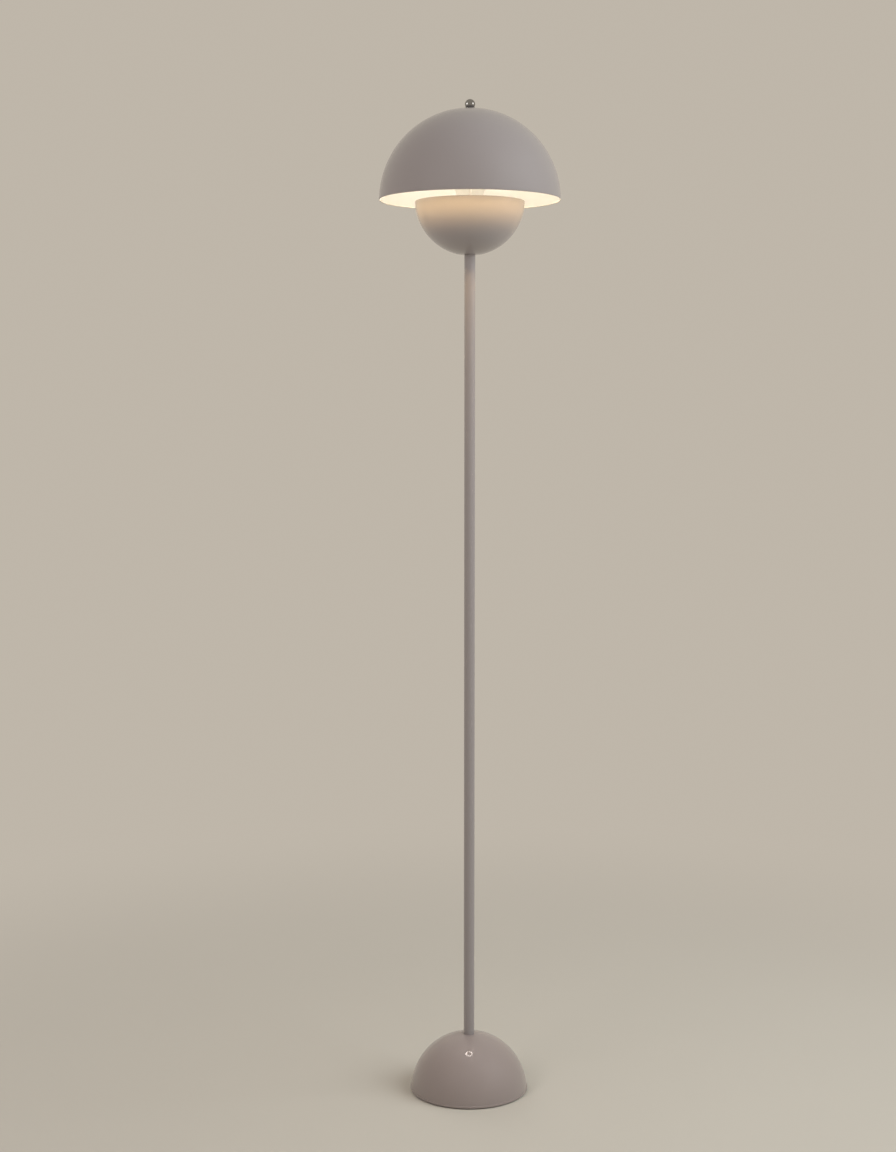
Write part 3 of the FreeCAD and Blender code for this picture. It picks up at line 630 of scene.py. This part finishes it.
def makeFloor():
    material, tree, shader, output = newMaterial("paleFloor")
    surface = useGroup(tree, fineSurface, Colour=(*stageLook["colour"], 1), Roughness=stageLook["roughness"],
                       Tone_Spread=stageLook["toneSpread"], Cloud_Scale=stageLook["cloudScale"],
                       Grain_Scale=stageLook["grainScale"])
    feed(tree, shader.inputs["Base Color"], surface.outputs["Colour"])
    feed(tree, shader.inputs["Roughness"], surface.outputs["Roughness"])
    reach = tree.nodes.new("ShaderNodeVectorMath")
    reach.operation = "LENGTH"
    feed(tree, reach.inputs[0], objectPlace(tree))
    fade = tree.nodes.new("ShaderNodeMapRange")
    fade.interpolation_type = "SMOOTHSTEP"
    feed(tree, fade.inputs["From Min"], stageLook["fadeStart"])
    feed(tree, fade.inputs["From Max"], stageLook["fadeEnd"])
    feed(tree, fade.inputs["Value"], reach.outputs["Value"])
    flat = tree.nodes.new("ShaderNodeEmission")
    feed(tree, flat.inputs["Color"], (*stageLook["backColour"], 1))
    mixed = tree.nodes.new("ShaderNodeMixShader")
    feed(tree, mixed.inputs["Fac"], fade.outputs[0])
    feed(tree, mixed.inputs[1], shader.outputs[0])
    feed(tree, mixed.inputs[2], flat.outputs[0])
    oneSided = tree.nodes.new("ShaderNodeMixShader")     # clear from below, so that the foot can be seen
    feed(tree, oneSided.inputs["Fac"], tree.nodes.new("ShaderNodeNewGeometry").outputs["Backfacing"])
    feed(tree, oneSided.inputs[1], mixed.outputs[0])
    feed(tree, oneSided.inputs[2], tree.nodes.new("ShaderNodeBsdfTransparent").outputs[0])
    feed(tree, output.inputs["Surface"], oneSided.outputs[0])
    sides = stageLook["sides"]
    clear = halfWidth("base_foot_pad") - stageLook["underFoot"]     # open under the foot, hidden by it
    verts = [(radius * math.cos(2 * math.pi * k / sides), radius * math.sin(2 * math.pi * k / sides), 0)
             for radius in (clear, stageLook["radius"]) for k in range(sides)]
    faces = [(k, sides + k, sides + (k + 1) % sides, (k + 1) % sides) for k in range(sides)]
    floor = meshPiece("floor", verts, faces)
    floor.data.materials.append(material)


def makeWorld():
    world = bpy.data.worlds.new("studio")
    bpy.context.scene.world = world
    world.use_nodes = True
    tree = world.node_tree
    tree.nodes.clear()
    light = tree.nodes.new("ShaderNodeBackground")
    feed(tree, light.inputs["Color"], (*stageLook["worldColour"], 1))
    feed(tree, light.inputs["Strength"], stageLook["worldStrength"])
    back = tree.nodes.new("ShaderNodeBackground")
    feed(tree, back.inputs["Color"], (*stageLook["backColour"], 1))
    ray = tree.nodes.new("ShaderNodeLightPath")
    seen = mathNode(tree, "MAXIMUM", ray.outputs["Is Camera Ray"], ray.outputs["Is Glossy Ray"])
    seen = mathNode(tree, "MAXIMUM", seen, ray.outputs["Is Transmission Ray"])
    mixed = tree.nodes.new("ShaderNodeMixShader")
    feed(tree, mixed.inputs["Fac"], seen)
    feed(tree, mixed.inputs[1], light.outputs[0])
    feed(tree, mixed.inputs[2], back.outputs[0])
    output = tree.nodes.new("ShaderNodeOutputWorld")
    feed(tree, output.inputs["Surface"], mixed.outputs[0])


# the large soft lamps stay out of the lacquer's reflections
lampsLook = {
    "keyRight": {"place": (1.75, -0.6, 1.8), "aim": (0, 0, 1.1), "size": (1.9, 1.9), "power": 42.1,
                 "colour": (0.934, 0.981, 1.0)},
    "fillLeft": {"place": (-1.4, -1.5, 1.8), "aim": (0, 0, 1.1), "size": (1.1, 1.1), "power": 16.5,
                 "colour": (1.0, 0.93, 0.93)},
    "backSoft": {"place": (-0.9, 2.3, 1.9), "aim": (0, 0, 0.8), "size": (1.6, 1.6), "power": 13.0,
                 "colour": (1.0, 0.97, 0.95)},
    "topSoft": {"place": (0.2, 0.3, 3.4), "aim": (0, 0, 0.5), "size": (2.0, 2.0), "power": 5.5,
                "colour": (0.9, 0.95, 1.0)},
}

# the light that the lit shade throws down, from small lamps all round its mouth
mouthLook = {"radius": 0.097, "aboveRim": 0.0014, "shineAboveRim": 0.0006, "count": 12,
             "size": (0.023, 0.050), "power": 0.60, "colour": (1.0, 0.71, 0.335), "shinePower": 0.85,
             "shineColour": (1.0, 0.89, 0.83)}

# two small lamps that light the finial alone
sparkLook = {"places": [(1.75, -0.6, 1.7), (-1.75, -0.6, 1.6)], "size": (0.8, 0.9), "power": 8.0,
             "colour": (1.0, 0.98, 0.96)}


def areaLamp(name, place, size, power, colour):
    light = bpy.data.lights.new(name, "AREA")
    light.shape = "RECTANGLE"
    light.size, light.size_y = size
    light.energy = power
    light.color = colour
    lamp = bpy.data.objects.new(name, light)
    lamp.location = place
    lamp.visible_camera = False
    bpy.context.scene.collection.objects.link(lamp)
    return lamp


def turnTo(lamp, aim):
    lamp.rotation_euler = (Vector(aim) - lamp.location).to_track_quat("-Z", "Y").to_euler()


def lightOnly(lamps, piece):
    # these lamps light this piece and no other
    receivers = bpy.data.collections.new("only_" + piece.name)
    receivers.objects.link(piece)
    for lamp in lamps:
        lamp.light_linking.receiver_collection = receivers


def mouthRing(name, aboveRim, power, colour):
    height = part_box("shade")[0].z + aboveRim
    lamps = []
    for k in range(mouthLook["count"]):
        turn = 2 * math.pi * k / mouthLook["count"]
        place = (mouthLook["radius"] * math.cos(turn), mouthLook["radius"] * math.sin(turn), height)
        lamp = areaLamp(f"{name}{k}", place, mouthLook["size"], power / mouthLook["count"], colour)
        lamp.rotation_euler = (0, 0, turn)
        lamps.append(lamp)
    return lamps


def makeLamps():
    for name, look in lampsLook.items():
        lamp = areaLamp(name, look["place"], look["size"], look["power"], look["colour"])
        lamp.visible_glossy = False
        turnTo(lamp, look["aim"])
    for lamp in mouthRing("mouthGlow", mouthLook["aboveRim"], mouthLook["power"], mouthLook["colour"]):
        lamp.visible_glossy = False
    shine = mouthRing("mouthShine", mouthLook["shineAboveRim"], mouthLook["shinePower"],
                      mouthLook["shineColour"])
    lightOnly(shine, nodes["base_dome"])     # its small round highlight in the lacquer


def makeSparks(finialBall):
    sparks = []
    for k, place in enumerate(sparkLook["places"]):
        lamp = areaLamp(f"spark{k}", place, sparkLook["size"], sparkLook["power"], sparkLook["colour"])
        turnTo(lamp, (0, 0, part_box("finial")[0].z))
        sparks.append(lamp)
    lightOnly(sparks, finialBall)


# the photograph is 896 by 1152 pixels, and the lens is fitted to its outlines
cameraLook = {"focalPixels": 1801.4, "tallPixels": 1152, "sensor": 36.0, "distance": 2.3084,
              "height": 0.8893, "pitchDegrees": -5.22, "asidePixels": -21.6}


def makeCamera():
    data = bpy.data.cameras.new("camera")
    data.sensor_width = cameraLook["sensor"]
    data.lens = cameraLook["sensor"] * cameraLook["focalPixels"] / cameraLook["tallPixels"]
    camera = bpy.data.objects.new("camera", data)
    aside = cameraLook["asidePixels"] / cameraLook["focalPixels"] * cameraLook["distance"]
    camera.location = (aside, -cameraLook["distance"], cameraLook["height"])
    camera.rotation_euler = (math.radians(90 + cameraLook["pitchDegrees"]), 0, 0)
    bpy.context.scene.collection.objects.link(camera)
    bpy.context.scene.camera = camera


makeFloor()
makeWorld()
makeLamps()
makeSparks(bpy.data.objects["finialBall"])
makeCamera()
bpy.context.scene.view_settings.view_transform = "Standard"
print("stage ready")
